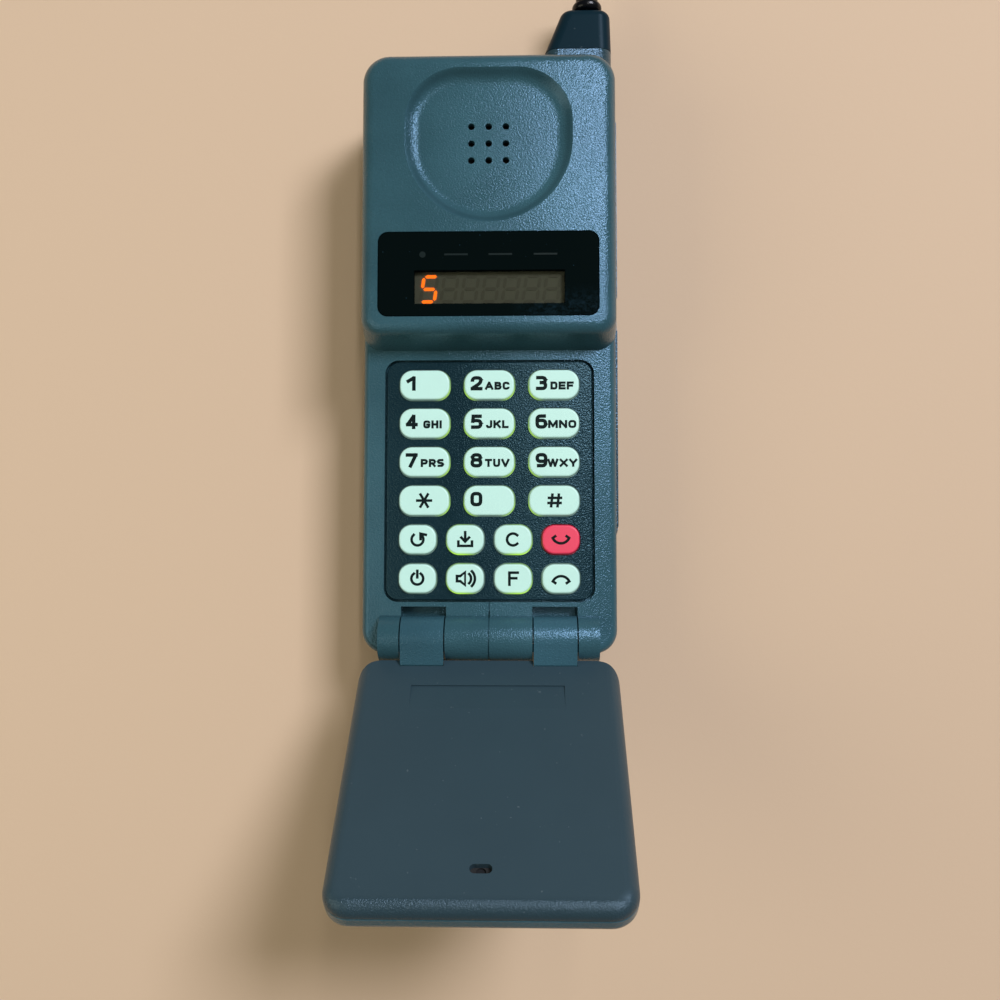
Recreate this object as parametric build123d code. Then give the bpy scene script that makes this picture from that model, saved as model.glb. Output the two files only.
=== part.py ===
from build123d import *
from math import acos, atan2, cos, hypot, radians, sin
import os

# A flip phone lying on its back with the flip open, in millimetres.
# X points right, Y towards the antenna, Z out of the keypad.
# The origin is the centre of the battery's flat back.

# Clearances that every piece uses
cut_past = 1.0
root = 0.5
fit_gap = 0.1
side_gap = 0.2

# Keys
key_width = 11.8
key_height = 7.0
key_gap_x = 3.5
key_gap_y = 2.15
key_corner = 3.0
small_key_height = 6.8
small_key_gap = 2.44
small_key_corner = 2.9
key_proud = 0.8
key_edge_round = 0.45
key_hole_gap = 0.25
key_flange = 0.5
key_flange_depth = 0.7
key_stem_radius = 1.5
key_stem_length = 0.4
mat_depth = 0.5
mat_corner = 1.0
dome_ring_gap = 0.4
dome_ring_wall = 0.6
dome_ring_height = 0.4
guide_depth = 1.5
guide_gap = 0.3
digit_rows = [["1", "2", "3"], ["4", "5", "6"], ["7", "8", "9"], ["star", "0", "hash"]]
small_rows = [["recall", "store", "clear", "send"], ["power", "volume", "function", "end"]]

# Keypad bezel and the deck round it
bezel_depth = 1.6
bezel_groove = 0.45
bezel_sink = 0.1
bezel_corner = 3.3
bezel_side_margin = 3.6
bezel_top_margin = 2.53
bezel_bottom_margin = 2.1
bezel_ledge = 1.4
bezel_ledge_depth = 1.2
bezel_edge = 0.3
deck_side_margin = 5.2
deck_top_margin = 2.3
deck_bottom_margin = 1.05

# Hinge and flip
hinge_radius = 5.3
hinge_below_deck = 0.5
hinge_half_length = 25.6
arm_width = 10.0
arm_middle_x = 15.4
arm_side_gap = 0.3
arm_root = 7.0
arm_outer_root = 8.0
arm_proud = 0.3
arm_slot_gap = 0.4
arm_slot_drop = 3.2
pin_radius = 1.25
pin_running_gap = 0.05
pin_inner_end = 6.0
pin_outer_depth = 3.7
pin_end_gap = 0.2
spring_wire_radius = 0.2
spring_turns = 9
spring_gap = 0.1
knuckle_seam = 0.3
flip_depth = 7.4
flip_deck_gap = 1.3
flip_near_gap = 0.05
flip_step_gap = 0.95
flip_opening = 131.5
flip_corner = 5.5
flip_outer_edge = 2.4
flip_inner_edge = 3.0
flip_wall = 1.4
flip_cover_depth = 3.2
flip_seam = 0.2
label_from_edge = 7.5
label_width = 34.6
label_length = 6.6
label_recess = 0.35
mic_from_tip = 8.7
mic_slot_width = 4.4
mic_slot_height = 2.0
mic_radius = 3.0
mic_depth = 2.2
mic_boot_wall = 0.8
mic_boot_floor = 0.5
magnet_radius = 2.5
magnet_depth = 2.0
magnet_from_tip = 4.6
magnet_x = 9.0
flex_width = 3.0
flex_depth = 0.2
flex_from_arm = 2.5

# Body
wall = 1.6
rear_floor = 1.4
rear_depth = 6.4
deck_depth = 7.6
body_low_corner = 5.5
body_top_corner = 6.4
deck_edge = 1.6
rear_edge = 2.0
cheek_reach = 3.6
seam_chamfer = 0.25
head_length = 69.2
head_rise = 8.5
head_low_corner = 4.5
head_lean = 2.8
head_draft = 0.5
head_edge = 2.8

# Display
window_width = 51.2
window_length = 19.9
window_from_step = 6.2
window_corner = 2.4
window_depth = 1.4
window_ledge = 2.0
window_sink = 0.05
window_edge = 0.15
led_width = 38.0
led_length = 11.0
led_depth = 4.1
led_gap = 0.2
led_from_ledge = 0.3
display_board_width = 44.0
display_board_length = 15.6
display_board_depth = 0.8
indicator_count = 4
indicator_pitch = 9.0
indicator_size = 1.6
indicator_from_led = 1.7

# Ear dish, earpiece
dish_radius = 19.6
dish_shoulder = 13.0
dish_side = 4.2
dish_depth = 2.0
dish_slope = 2.6
dish_floor_round = 3.0
dish_from_top = 4.1
sound_hole_radius = 0.8
sound_hole_pitch = 4.05
sound_hole_from_top = 21.6
earpiece_radius = 11.0
earpiece_depth = 5.4
earpiece_ring_wall = 1.2
earpiece_ring_depth = 4.0
earpiece_edge = 1.0
earpiece_mouth_radius = 7.0
earpiece_mouth_depth = 0.6
gasket_depth = 0.9
gasket_hole_radius = 8.0

# Antenna
antenna_x = 24.1
antenna_height = 4.2
mast_radius = 1.4
mast_length = 109.0
ferrule_radius = 2.1
ferrule_length = 4.0
tube_outer_radius = 2.7
tube_length = 98.0
tube_bore_gap = 0.03
clip_length = 6.0
clip_depth = 0.35
clip_foot = 1.6
clip_from_end = 12.0
tower_left_x = 13.5
tower_length = 7.5
tower_depth = 8.4
tower_corner = 3.2
tower_edge = 0.15
boot_length = 10.6
boot_top_left_x = 17.8
boot_top_right_x = 29.7
boot_top_depth = 7.8
boot_shoulder = 2.0
boot_gap = 0.2
knob_flange_radius = 3.7
knob_flange_length = 2.5
knob_flange_edge = 1.1
knob_neck_radius = 2.75
knob_neck_length = 2.2
knob_cap_radius = 3.1
knob_cap_length = 4.3
knob_cap_edge = 0.4

# Boards
board_depth = 1.0
board_gap = 0.4
logic_below_deck = 4.1
logic_corner = 4.0
chip_depth = 1.4
radio_above_floor = 1.6
radio_from_keypad = 11.0
radio_from_top = 10.7
radio_post_radius = 2.0
radio_post_inset = 4.0
radio_post_left_x = -23.0
shield_left_x = -25.0
shield_right_x = 19.0
shield_wall = 0.4
shield_corner = 0.8
shield_gap = 1.7
shield_from_end = 2.0
shield_high_length = 27.0
filter_width = 22.0
filter_length = 10.0
filter_depth = 3.0
filter_gap = 2.0
header_width = 32.0
header_length = 2.5
header_inset = 1.0
link_left_x = -16.0
link_width = 24.0
link_length = 4.5
link_inset = 1.5
ringer_radius = 6.0
ringer_depth = 4.5
ringer_x = -20.0
ringer_from_sound = 6.8
hook_width = 6.0
hook_length = 2.0
hook_from_magnet = -1.5
hook_from_step = 0.6

# Screws
screw_shank_radius = 1.0
screw_head_radius = 1.8
screw_head_depth = 1.2
screw_recess = 2.0
screw_bite = 2.0
screw_thread_gap = 0.02
screw_slot_length = 2.4
screw_slot_width = 0.5
screw_slot_depth = 0.5
boss_radius = 2.2
rear_boss_radius = 2.5

# Accessory connector in the phone's foot
connector_width = 25.2
connector_depth = 3.6
connector_length = 8.0
connector_inset = 0.3
strip_count = 8
strip_pitch = 2.8
strip_width = 1.4
strip_height = 2.4
strip_depth = 0.55
strip_proud = 0.05
strip_from_floor = 0.6

# Pins between the phone and its battery
contact_count = 4
contact_pitch = 3.0
contact_radius = 0.8
contact_y = 15.0
contact_margin_x = 2.0
contact_half_y = 3.5
contact_gap = 0.05
pad_grow = 0.5
pad_depth = 2.1

# Battery
battery_length = 112.2
battery_overhang = 1.5
battery_depth = 10.0
battery_edge = 2.5
battery_corner = 5.0
battery_wall = 1.3
battery_lid_depth = 1.2
battery_to_hinge = 21.5
rail_height = 1.7
rail_break_length = 8.4
rail_break_y = 2.1
tab_length = 10.0
tab_reach = 0.9
tab_depth = 0.8
tab_spacing = 44.0
battery_slide = 12.0
side_gap = 0.2
tab_from_break = 1.0
tab_block_depth = 1.2
cell_width = 17.0
cell_gap = 2.4
cell_row_gap = 2.0
cell_end_gap = 4.3
cell_shift = 1.5
cell_corner = 2.0
cell_lid_gap = 0.3
cell_board_width = 16.0
cell_board_length = 18.0
cell_board_below_lid = 1.0
cell_board_post_x = 6.0
cell_board_post_y = 7.0
cell_board_post_radius = 1.0
latch_width = 13.0
latch_length = 11.0
latch_from_top = 4.1
latch_travel = 2.5
latch_sink = 0.6
latch_depth = 3.3
latch_rail = 0.9
latch_rail_depth = 1.0
latch_rail_z = 1.8
latch_roof = 0.9
latch_rib_count = 4
latch_rib_pitch = 2.2
latch_rib_margin = 1.2
latch_rib_width = 1.0
latch_rib_depth = 0.5

# Sizes worked out from the ones above
key_pitch_x = key_width + key_gap_x
key_pitch_y = key_height + key_gap_y
keypad_width = 3 * key_width + 2 * key_gap_x
small_key_width = (keypad_width - 3 * small_key_gap) / 4
small_key_pitch = small_key_width + small_key_gap
opening_width = keypad_width + 2 * bezel_side_margin
body_width = opening_width + 2 * deck_side_margin
half_width = body_width / 2
inner_half = half_width - wall
opening_length = (bezel_top_margin + key_height / 2 + 5 * key_pitch_y
                  + small_key_height / 2 + bezel_bottom_margin)

rear_z = battery_depth
floor_z = rear_z + rear_floor
seam_z = rear_z + rear_depth
deck_z = seam_z + deck_depth
head_z = deck_z + head_rise
bezel_top_z = deck_z - bezel_sink
bezel_z = bezel_top_z - bezel_depth
deck_under_z = bezel_z - bezel_ledge_depth
key_top_z = deck_z + key_proud
flange_top_z = bezel_z - fit_gap
flange_z = flange_top_z - key_flange_depth
stem_z = flange_z - key_stem_length
logic_top_z = deck_z - logic_below_deck
logic_z = logic_top_z - board_depth
radio_z = floor_z + radio_above_floor
radio_top_z = radio_z + board_depth
shield_top_z = logic_z - shield_gap
antenna_z = rear_z + antenna_height

hinge_y = -battery_length / 2 - battery_to_hinge
hinge_z = deck_z - hinge_below_deck
slot_reach = arm_root + arm_slot_gap
opening_low_y = hinge_y + slot_reach + deck_bottom_margin
opening_high_y = opening_low_y + opening_length
opening_middle_y = (opening_low_y + opening_high_y) / 2
top_key_y = opening_high_y - bezel_top_margin - key_height / 2
step_y = opening_high_y + deck_top_margin
top_y = step_y + head_length
inner_top_y = top_y - wall
bottom_y = hinge_y - cheek_reach
cavity_low_y = hinge_y + slot_reach + wall
head_low_y = step_y + head_lean + wall

flip_inner = hinge_below_deck + flip_deck_gap
flip_outer = flip_inner + flip_depth
flip_split = flip_inner + flip_cover_depth
flip_near = hinge_radius + flip_near_gap
flip_tip = step_y - flip_step_gap - hinge_y
mic_y = flip_tip - mic_from_tip
arm_half = arm_width / 2
arm_slot_half = arm_half + arm_side_gap
pin_outer_end = arm_middle_x + arm_slot_half + pin_outer_depth
pin_bore_radius = pin_radius + pin_running_gap

window_low_y = step_y + window_from_step
window_high_y = window_low_y + window_length
window_middle_y = window_low_y + window_length / 2
window_under_z = head_z - window_depth
led_low_y = window_low_y + window_ledge + led_from_ledge
led_top_z = window_under_z - led_gap
led_z = led_top_z - led_depth
display_board_z = led_z - display_board_depth
display_board_low_y = window_low_y + window_ledge + side_gap
display_board_high_y = display_board_low_y + display_board_length

dish_top_y = top_y - dish_from_top
dish_under_z = head_z - dish_depth - wall
sound_y = top_y - sound_hole_from_top
gasket_z = dish_under_z - gasket_depth

boot_y = top_y + tower_length
boot_top_y = boot_y + boot_length
knob_y = boot_top_y + boot_gap
tube_end_y = boot_y - tube_length

battery_width = body_width + 2 * battery_overhang
battery_half = battery_width / 2
battery_reach = battery_length / 2
cell_reach = battery_reach - battery_wall
cell_length = cell_reach - cell_end_gap - cell_shift - cell_row_gap / 2
lid_z = battery_depth - battery_lid_depth
pocket_half = latch_width / 2 + side_gap
pocket_high_y = battery_reach - latch_from_top + side_gap
pocket_low_y = battery_reach - latch_from_top - latch_length - latch_travel - side_gap
pocket_roof_z = latch_sink + latch_depth + side_gap

connector_half = connector_width / 2
contact_half_x = (contact_count - 1) * contact_pitch / 2 + contact_margin_x
radio_low_y = opening_low_y + radio_from_keypad
radio_high_y = top_y - radio_from_top
radio_right_x = antenna_x - tube_outer_radius - board_gap
radio_posts = [(x, y) for x in (radio_post_left_x, radio_right_x - radio_post_inset)
               for y in (radio_low_y + radio_post_inset, radio_high_y - radio_post_inset)]

# Screw centres: beside the keypad's foot, at the step, and at the head's top
screw_low = (inner_half - rear_boss_radius - side_gap, opening_low_y + 7.1)
screw_step = (17.0, step_y + 2.1)
screw_top_left = (-25.0, top_y - 6.7)
screw_top_right = (17.2, top_y - 6.2)
screw_places = [screw_low, (-screw_low[0], screw_low[1]), screw_step,
                (-screw_step[0], screw_step[1]), screw_top_left, screw_top_right]

# Processor chips: centre x, centre from the step, width, length
chip_places = [(-16.0, 33.6, 14.0, 14.0), (3.0, 33.6, 12.0, 12.0),
               (-16.0, 13.6, 10.0, 16.0), (3.0, 14.6, 16.0, 9.0)]


def block(x, y, z):
    """A box from three (low, high) pairs."""
    size = [pair[1] - pair[0] for pair in (x, y, z)]
    middle = [(pair[1] + pair[0]) / 2 for pair in (x, y, z)]
    return Pos(*middle) * Box(*size)


def about(middle, size):
    """The (low, high) pair of a size about its middle."""
    return middle - size / 2, middle + size / 2


def rod(x, y, low_z, high_z, radius):
    """A cylinder standing along Z."""
    return Pos(x, y, (low_z + high_z) / 2) * Cylinder(radius, high_z - low_z)


def rod_x(low_x, high_x, y, z, radius):
    """A cylinder lying along X."""
    return Pos((low_x + high_x) / 2, y, z) * Rot(0, 90, 0) * Cylinder(radius, high_x - low_x)


def rod_y(x, low_y, high_y, z, radius):
    """A cylinder lying along Y."""
    return Pos(x, (low_y + high_y) / 2, z) * Rot(90, 0, 0) * Cylinder(radius, high_y - low_y)


def outline(width, low_y, high_y, low_corner, high_corner):
    """A rectangle about X = 0 whose low and high corners have radii of their own."""
    shape = Pos(0, (low_y + high_y) / 2) * Rectangle(width, high_y - low_y)
    shape = fillet(shape.vertices().sort_by(Axis.Y)[:2], low_corner)
    corners = shape.vertices().filter_by(lambda v: abs(v.Y - high_y) < 1e-6)
    return fillet(corners, high_corner)


def slab(sketch, low_z, high_z):
    """A sketch pulled up between two heights."""
    return Pos(0, 0, low_z) * extrude(sketch, high_z - low_z)


def side_prism(points, low_x, high_x):
    """A prism along X from (Y, Z) points."""
    face = Plane.YZ * make_face(Polyline(*points, close=True))
    return Pos(low_x, 0, 0) * extrude(face, high_x - low_x, dir=(1, 0, 0))


def edges_at(shape, z):
    """The edges that lie in the plane of height z."""
    return shape.edges().filter_by(
        lambda e: abs(e.bounding_box().min.Z - z) < 1e-4 and abs(e.bounding_box().max.Z - z) < 1e-4)


def tangent_point(y, z, radius, side):
    """Where a line from (y, z) touches the circle of that radius about the origin."""
    turn = acos(radius / hypot(y, z)) * side
    angle = atan2(z, y) + turn
    return radius * cos(angle), radius * sin(angle)


def row_places(count, pitch):
    """The centres of a row of equal steps about zero."""
    return [(index - (count - 1) / 2) * pitch for index in range(count)]


def keys():
    """Name, centre and size of every key."""
    rows = []
    for row, names in enumerate(digit_rows):
        y = top_key_y - row * key_pitch_y
        for name, x in zip(names, row_places(len(names), key_pitch_x)):
            rows.append((name, x, y, key_width, key_height, key_corner))
    for row, names in enumerate(small_rows):
        y = top_key_y - (row + len(digit_rows)) * key_pitch_y
        for name, x in zip(names, row_places(len(names), small_key_pitch)):
            rows.append((name, x, y, small_key_width, small_key_height, small_key_corner))
    return rows


def key_shape(x, y, width, height, corner, grow):
    return Pos(x, y) * RectangleRounded(width + 2 * grow, height + 2 * grow, corner + grow)


# Front housing --------------------------------------------------------------------------------

def arm_fairing():
    """The side view of a hinge arm in the flip's own frame, from the barrel to the flip."""
    inner = (arm_root, flip_inner - arm_proud)
    outer = (arm_outer_root, flip_outer)
    low = tangent_point(*inner, hinge_radius, -1)
    high = tangent_point(*outer, hinge_radius, 1)
    return low, inner, outer, high


def hinge_slot(middle_x):
    """The space for one arm, with a seat that the open arm stops against."""
    radius = hinge_radius + arm_side_gap
    low_x, high_x = middle_x - arm_slot_half, middle_x + arm_slot_half
    _, _, outer, high = arm_fairing()
    turn = radians(flip_opening)
    seat = [(y * cos(turn) - z * sin(turn), y * sin(turn) + z * cos(turn)) for y, z in (high, outer)]
    start = tuple(part * radius / hinge_radius for part in seat[0])
    end = (start[0] + seat[1][0] - seat[0][0], start[1] + seat[1][1] - seat[0][1])
    above = 2 * hinge_radius
    wedge = [(0, 0), start, end, (end[0], above), (0, above)]
    wedge = [(hinge_y + y, hinge_z + z) for y, z in wedge]
    return (rod_x(low_x, high_x, hinge_y, hinge_z, radius)
            + side_prism(wedge, low_x, high_x)
            + block((low_x, high_x), (hinge_y, hinge_y + slot_reach),
                    (hinge_z - arm_slot_drop, hinge_z + above)))


def dish_outline(inset):
    """The ear dish: straight top, round shoulders, short straight sides and a half-round foot."""
    half = dish_radius - inset
    foot_y = dish_top_y - dish_shoulder - dish_side
    upper = Pos(0, (foot_y + dish_top_y - inset) / 2) * Rectangle(2 * half, dish_top_y - inset - foot_y)
    upper = fillet(upper.vertices().sort_by(Axis.Y)[2:], dish_shoulder - inset)
    foot = Pos(0, foot_y) * Circle(half) & Pos(0, foot_y - half / 2) * Rectangle(2 * half, half)
    return upper + foot


def dish_cutter():
    tool = loft([Pos(0, 0, head_z + fit_gap) * dish_outline(-fit_gap * dish_slope / dish_depth),
                 Pos(0, 0, head_z - dish_depth) * dish_outline(dish_slope)], ruled=True)
    return fillet(edges_at(tool, head_z - dish_depth), dish_floor_round)


def body_plan(grow):
    return outline(body_width + 2 * grow, bottom_y - grow, top_y + grow,
                   body_low_corner + grow, body_top_corner + grow)


def opening_plan(inset):
    corner = max(bezel_corner - inset, mat_corner)
    return Pos(0, opening_middle_y) * RectangleRounded(
        opening_width - 2 * inset, opening_length - 2 * inset, corner)


def window_plan(inset, corner):
    return Pos(0, window_middle_y) * RectangleRounded(
        window_width - 2 * inset, window_length - 2 * inset, corner)


def front_shell():
    """The outer form, still solid."""
    base = slab(body_plan(0), seam_z, deck_z)
    base = fillet(edges_at(base, deck_z), deck_edge)
    base = chamfer(edges_at(base, seam_z), seam_chamfer)
    low_plan = outline(body_width, step_y, top_y, head_low_corner, body_top_corner)
    high_plan = outline(body_width - 2 * head_draft, step_y + head_lean, top_y - head_draft,
                        head_low_corner, body_top_corner)
    head = loft([Pos(0, 0, deck_z) * low_plan, Pos(0, 0, head_z) * high_plan], ruled=True)
    head = fillet(edges_at(head, head_z), head_edge)
    barrel = rod_x(-hinge_half_length, hinge_half_length, hinge_y, hinge_z, hinge_radius)
    return base + head + slab(low_plan, seam_z + wall, deck_z) + barrel


def front_cavity():
    """The rooms under the deck and in the head, less what is built on their walls."""
    corner = body_top_corner - wall
    low_room = slab(outline(2 * inner_half, cavity_low_y, inner_top_y, fit_gap, corner),
                    seam_z - cut_past, deck_under_z)
    head_room = slab(outline(2 * inner_half, head_low_y, inner_top_y, fit_gap, corner), seam_z, head_z - wall)
    frame_half = window_width / 2 + window_ledge
    window_frame = block((-frame_half, frame_half), (head_low_y - cut_past, window_high_y + window_ledge),
                         (window_under_z - window_depth, head_z))
    dish_back = slab(dish_outline(-wall), dish_under_z, head_z)
    seat_radius = earpiece_radius + side_gap
    earpiece_ring = rod(0, sound_y, gasket_z - earpiece_ring_depth, head_z, seat_radius + earpiece_ring_wall)
    earpiece_seat = rod(0, sound_y, deck_z - cut_past, dish_under_z, seat_radius)
    return low_room + (head_room - window_frame - dish_back - earpiece_ring) + earpiece_seat


def knuckle_cuts():
    """Pin bores, and the seam in the middle knuckle and in the deck above it."""
    bore_end = pin_outer_end + pin_end_gap
    seam_half = knuckle_seam / 2
    groove = (rod_x(-seam_half, seam_half, hinge_y, hinge_z, hinge_radius + cut_past)
              - rod_x(-knuckle_seam, knuckle_seam, hinge_y, hinge_z, hinge_radius - knuckle_seam))
    groove &= block((-cut_past, cut_past), (hinge_y - 2 * hinge_radius, hinge_y + 2 * hinge_radius),
                    (hinge_z - cut_past, head_z))
    deck_groove = block((-seam_half, seam_half), (hinge_y + hinge_radius, opening_low_y),
                        (deck_z - knuckle_seam, head_z))
    return [rod_x(-bore_end, bore_end, hinge_y, hinge_z, pin_bore_radius), groove, deck_groove]


def front_housing():
    shape = front_shell() - front_cavity()
    shape -= slab(opening_plan(0), bezel_z, deck_z + cut_past)
    shape -= slab(opening_plan(bezel_ledge), deck_under_z - cut_past, deck_z)
    shape -= slab(window_plan(0, window_corner), window_under_z, head_z + cut_past)
    shape -= slab(window_plan(window_ledge, fit_gap), window_under_z - window_depth - cut_past, head_z)

    shape -= dish_cutter()
    for x in row_places(3, sound_hole_pitch):
        for y in row_places(3, sound_hole_pitch):
            shape -= rod(x, sound_y + y, dish_under_z - cut_past, head_z, sound_hole_radius)

    for side in (-1, 1):
        shape -= hinge_slot(side * arm_middle_x)
    for cut in knuckle_cuts():
        shape -= cut

    # The antenna tube's way through the top wall, and the screw bosses
    shape -= rod_y(antenna_x, top_y - 2 * wall, top_y + cut_past, antenna_z, tube_outer_radius + fit_gap)
    for x, y in screw_places:
        roof_z = deck_under_z if y < head_low_y else head_z - wall
        shape += rod(x, y, logic_top_z, roof_z + root, boss_radius)
        shape -= rod(x, y, logic_top_z - cut_past, logic_top_z + screw_bite + side_gap,
                     screw_shank_radius + screw_thread_gap)
    return shape


# Rear housing ---------------------------------------------------------------------------------

def tab_places():
    middle_y = rail_break_y - rail_break_length / 2 - tab_length / 2 - tab_from_break
    return [(side, y) for side in (-1, 1) for y in (-tab_spacing, middle_y, tab_spacing)]


def rail_groove(side, y):
    """The groove one battery tab slides in, with the notch that it drops in by."""
    x = sorted((side * (half_width - tab_reach - side_gap), side * (half_width + cut_past)))
    low_z = rear_z + rail_height - tab_depth - fit_gap
    high_z = rear_z + rail_height + fit_gap
    low_y = y - tab_length / 2 - battery_slide - side_gap
    high_y = y + tab_length / 2 + side_gap
    groove = block(x, (low_y, high_y), (low_z, high_z))
    return groove + block(x, (low_y, high_y - battery_slide), (rear_z - cut_past, high_z))


def antenna_tower():
    """The tower from inside the body's corner out to the boot, cut to clear the front housing."""
    start_y = top_y - body_top_corner
    face = RectangleRounded(half_width - tower_left_x, tower_depth, tower_corner)
    plane = Plane(((tower_left_x + half_width) / 2, start_y, rear_z + tower_depth / 2),
                  x_dir=(1, 0, 0), z_dir=(0, 1, 0))
    tower = extrude(plane * face, body_top_corner + tower_length)
    tower = chamfer(tower.faces().sort_by(Axis.Y)[-1].edges(), tower_edge)
    return tower - slab(body_plan(fit_gap), seam_z - seam_chamfer, head_z)


def contact_opening(grow):
    return block((-contact_half_x - grow, contact_half_x + grow),
                 about(contact_y, 2 * (contact_half_y + grow)), (rear_z - cut_past, radio_z))


def rear_housing():
    shape = slab(body_plan(0), rear_z, seam_z)
    shape = fillet(edges_at(shape, rear_z), rear_edge)
    shape = chamfer(edges_at(shape, seam_z), seam_chamfer) + antenna_tower()
    shape -= slab(body_plan(-wall), floor_z, seam_z + cut_past)
    shape -= rod_y(antenna_x, top_y - 2 * wall, boot_y + cut_past, antenna_z,
                   tube_outer_radius + tube_bore_gap)
    for side, y in tab_places():
        x = sorted((side * (inner_half - tab_block_depth), side * (half_width - root)))
        low_y = y - tab_length / 2 - battery_slide - rear_floor
        high_y = y + tab_length / 2 + rear_floor
        shape += block(x, (low_y, high_y), (floor_z - root, rear_z + rail_height + tab_block_depth))
        shape -= rail_groove(side, y)
    for x, y in screw_places:
        shape += rod(x, y, rear_z + root, logic_z, rear_boss_radius)
        shape -= rod(x, y, rear_z - cut_past, rear_z + screw_recess, screw_head_radius + side_gap)
        shape -= rod(x, y, rear_z, logic_z + cut_past, screw_shank_radius + side_gap)
    for x, y in radio_posts:
        shape += rod(x, y, rear_z + root, radio_z, radio_post_radius)
    shape -= contact_opening(side_gap)
    half = connector_half + side_gap
    shape -= block((-half, half), (bottom_y - cut_past, bottom_y + wall + cut_past),
                   (floor_z, floor_z + connector_depth + side_gap))
    return shape


# Keypad ---------------------------------------------------------------------------------------

def keypad_bezel():
    shape = slab(opening_plan(bezel_groove), bezel_z, bezel_top_z)
    shape = fillet(edges_at(shape, bezel_top_z), bezel_edge)
    for _, *place in keys():
        shape -= slab(key_shape(*place, key_hole_gap), bezel_z - cut_past, deck_z + cut_past)
    return shape


def key(x, y, width, height, corner):
    place = (x, y, width, height, corner)
    cap = slab(key_shape(*place, 0), flange_top_z, key_top_z)
    cap = fillet(edges_at(cap, key_top_z), key_edge_round)
    flange = slab(key_shape(*place, key_hole_gap + key_flange / 2), flange_z, flange_top_z)
    return cap + flange + rod(x, y, stem_z, flange_z, key_stem_radius)


def keypad_mat():
    mat_top_z = logic_top_z + mat_depth
    shape = slab(opening_plan(bezel_ledge + fit_gap), logic_top_z, mat_top_z)
    ring_inner = key_stem_radius + dome_ring_gap
    for _, x, y, *_ in keys():
        ring = rod(x, y, mat_top_z, mat_top_z + dome_ring_height, ring_inner + dome_ring_wall)
        shape += ring - rod(x, y, logic_top_z, deck_z, ring_inner)
    return shape


def light_guide():
    low_z = logic_top_z + mat_depth
    shape = slab(opening_plan(bezel_ledge + guide_gap), low_z, low_z + guide_depth)
    for _, *place in keys():
        room = key_shape(*place, key_hole_gap + key_flange / 2 + guide_gap)
        shape -= slab(room, low_z - cut_past, deck_z)
    return shape


# Flip, modelled shut about its hinge axis and then swung open ---------------------------------

def swing_open(shape):
    return Pos(0, hinge_y, hinge_z) * Rot(flip_opening, 0, 0) * shape


def flip_plan(inset, near_y):
    corner = flip_corner - inset
    return outline(body_width - 2 * inset, near_y, flip_tip - inset, corner, corner)


def flip_arm(middle_x):
    low, inner, outer, high = arm_fairing()
    low_x, high_x = middle_x - arm_half, middle_x + arm_half
    side = [(0, 0), low, inner, (inner[0], flip_split), (outer[0], flip_split), outer, high]
    arm = rod_x(low_x, high_x, 0, 0, hinge_radius) + side_prism(side, low_x, high_x)
    return arm - rod_x(low_x - cut_past, high_x + cut_past, 0, 0, pin_bore_radius)


def flip_outer_shell():
    shape = slab(flip_plan(0, flip_near), flip_split, flip_outer)
    shape = fillet(edges_at(shape, flip_outer), flip_outer_edge)
    shape = chamfer(edges_at(shape, flip_split), flip_seam)
    shape -= slab(flip_plan(flip_wall, flip_near + flip_wall), flip_split - cut_past, flip_outer - flip_wall)
    for side in (-1, 1):
        shape += flip_arm(side * arm_middle_x)
    return shape


def flip_inner_cover():
    # The face is rounded at the sides and the tip, and ends in a plain edge at the hinge
    rounded = slab(flip_plan(0, flip_near - 2 * flip_inner_edge), flip_inner, flip_split)
    rounded = fillet(edges_at(rounded, flip_inner), flip_inner_edge)
    shape = slab(flip_plan(0, flip_near), flip_inner, flip_split)
    shape = chamfer(edges_at(shape, flip_split), flip_seam) & rounded
    shape -= slab(flip_plan(flip_wall, flip_near + flip_wall), flip_inner + flip_wall, flip_split + cut_past)
    for side in (-1, 1):
        shape -= block(about(side * arm_middle_x, arm_width + 2 * fit_gap), (0, arm_root + fit_gap),
                       (flip_inner - cut_past, flip_split + cut_past))
    label_y = flip_near + label_from_edge
    ramp = [(label_y, flip_inner - cut_past), (label_y, flip_inner + label_recess),
            (label_y + label_length, flip_inner), (label_y + label_length, flip_inner - cut_past)]
    shape -= side_prism(ramp, -label_width / 2, label_width / 2)
    return shape - slab(Pos(0, mic_y) * SlotOverall(mic_slot_width, mic_slot_height),
                        flip_inner - cut_past, flip_split)


def microphone():
    low_z = flip_inner + flip_wall + mic_boot_floor
    return rod(0, mic_y, low_z, low_z + mic_depth, mic_radius)


def microphone_boot():
    low_z = flip_inner + flip_wall
    cup = rod(0, mic_y, low_z, low_z + mic_boot_floor + mic_depth, mic_radius + mic_boot_wall)
    cup -= rod(0, mic_y, low_z + mic_boot_floor, flip_outer, mic_radius)
    return cup - rod(0, mic_y, low_z - cut_past, flip_outer, mic_slot_height / 2)


def microphone_flex():
    low_z = flip_inner + flip_wall + mic_boot_floor + mic_depth
    near_y = arm_root + flex_from_arm
    half = flex_width / 2
    run = block((-half, half), (near_y, mic_y + half), (low_z, low_z + flex_depth))
    return run + block((-arm_middle_x, half), (near_y, near_y + flex_width), (low_z, low_z + flex_depth))


def flip_magnet():
    low_z = flip_inner + flip_wall
    return rod(magnet_x, flip_tip - magnet_from_tip, low_z, low_z + magnet_depth, magnet_radius)


# Hinge hardware -------------------------------------------------------------------------------

def hinge_pins():
    spans = [(-pin_outer_end, -pin_inner_end), (pin_inner_end, pin_outer_end)]
    return Compound([rod_x(*span, hinge_y, hinge_z, pin_radius) for span in spans])


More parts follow.
